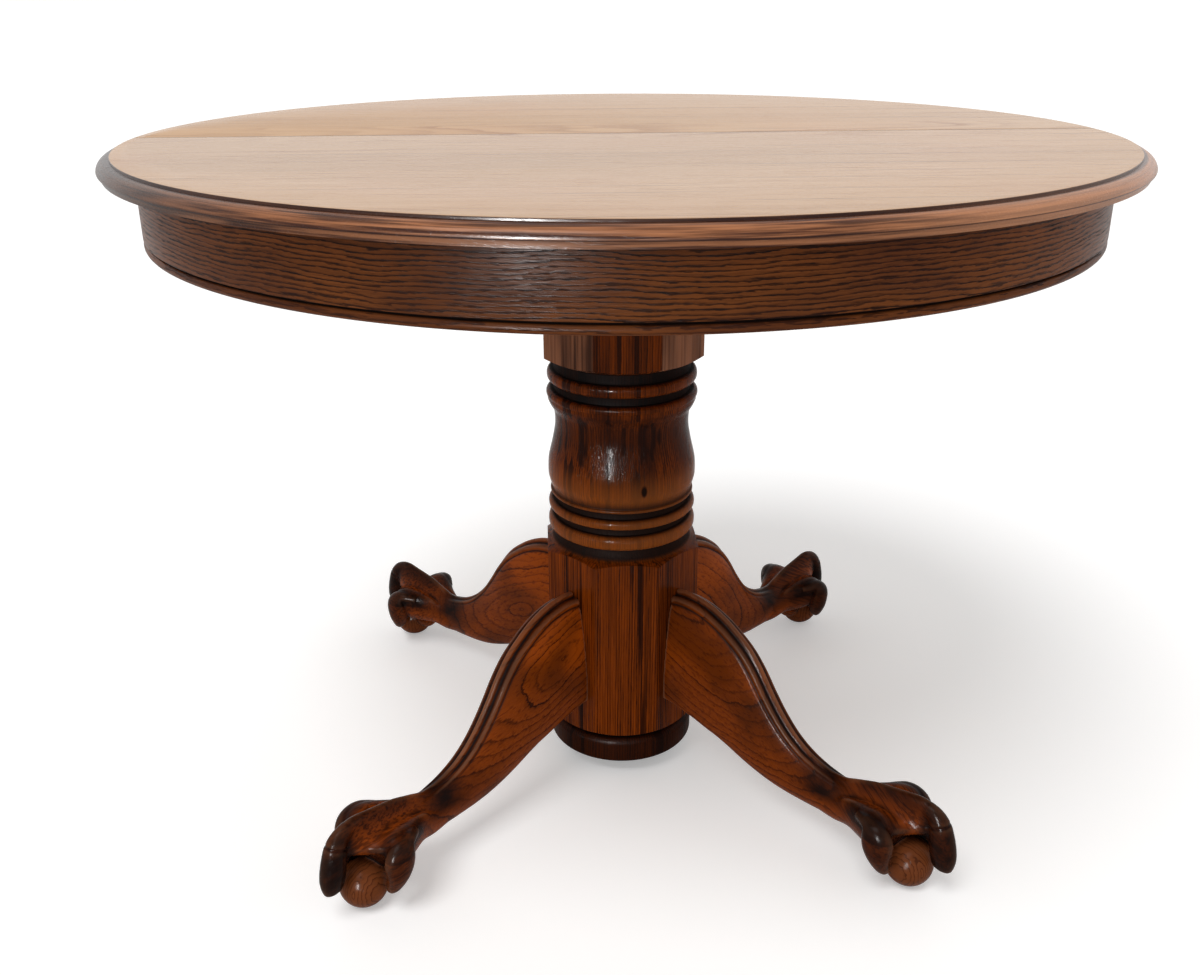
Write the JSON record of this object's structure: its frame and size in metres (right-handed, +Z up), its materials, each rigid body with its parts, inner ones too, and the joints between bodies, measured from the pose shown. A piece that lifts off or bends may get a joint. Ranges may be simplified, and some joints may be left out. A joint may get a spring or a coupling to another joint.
{
  "type": "round pedestal table",
  "caption": "Round oak dining table whose halves slide apart on geared rails, on a turned octagonal column with carved claw-and-ball legs.",
  "frame": {"origin": "on the floor under the column's axis", "axes": "+Z up, +X along the seam of the top, +Y towards the back; the front half slides towards -Y"},
  "size_m": [1.06, 1.0598, 0.765],
  "materials": {
    "oak_top": "varnished",
    "oak_apron": "varnished",
    "oak_column": "varnished",
    "oak_leg": "varnished",
    "plain_wood": "plain",
    "zinc_steel": "satin",
    "dark_steel": "satin"
  },
  "bodies": {
    "pedestal": {"column": "oak_column", "leg_front_left": "oak_leg", "leg_front_right": "oak_leg", "leg_back_left": "oak_leg", "leg_back_right": "oak_leg", "leg_bolts": "zinc_steel", "leg_washers": "zinc_steel", "leg_nuts": "zinc_steel", "leg_dowels": "plain_wood", "platform": "plain_wood", "fixed_rail_left": "plain_wood", "fixed_rail_right": "plain_wood", "pinion_axle": "zinc_steel", "pinion_washer": "zinc_steel", "axle_collar": "zinc_steel", "column_bolts": "zinc_steel", "rail_bolts": "zinc_steel"},
    "front_half": {"top_front": "oak_top", "apron_front": "oak_apron", "apron_blocks_front": "plain_wood", "seam_pins": "plain_wood", "front_rail_left": "plain_wood", "front_rail_right": "plain_wood", "rack_front": "zinc_steel", "rack_cleats_front": "plain_wood", "lock_plates": "dark_steel", "top_screws_front": "dark_steel", "block_screws_front": "dark_steel"},
    "back_half": {"top_back": "oak_top", "apron_back": "oak_apron", "apron_blocks_back": "plain_wood", "back_rail_left": "plain_wood", "back_rail_right": "plain_wood", "rack_back": "zinc_steel", "rack_cleats_back": "plain_wood", "lock_keepers": "dark_steel", "top_screws_back": "dark_steel", "block_screws_back": "dark_steel"},
    "pinion": {"pinion": "zinc_steel"},
    "lock_left": {"lock_lever_left": "dark_steel"},
    "lock_right": {"lock_lever_right": "dark_steel"}
  },
  "joints": [
    {"name": "front_slide", "type": "slide", "parent": "pedestal", "child": "front_half", "axis": [0, -1, 0], "range_m": [0, 0.305]},
    {"name": "back_slide", "type": "slide", "parent": "pedestal", "child": "back_half", "axis": [0, 1, 0], "range_m": [0, 0.305]},
    {"name": "pinion_turn", "type": "hinge", "parent": "pedestal", "child": "pinion", "pos_m": [0, 0, 0.7152], "axis": [0, 0, 1], "range_deg": [0, 486]},
    {"name": "lock_left_turn", "type": "hinge", "parent": "front_half", "child": "lock_left", "pos_m": [-0.3, -0.032, 0.7412], "axis": [0, 0, 1], "range_deg": [0, 90]},
    {"name": "lock_right_turn", "type": "hinge", "parent": "front_half", "child": "lock_right", "pos_m": [0.3, -0.032, 0.7412], "axis": [0, 0, -1], "range_deg": [0, 90]}
  ],
  "couplings": [
    {"joint": "back_slide", "follows": "front_slide", "ratio": 1},
    {"joint": "pinion_turn", "follows": "front_slide", "rad_per_m": 27.778}
  ]
}
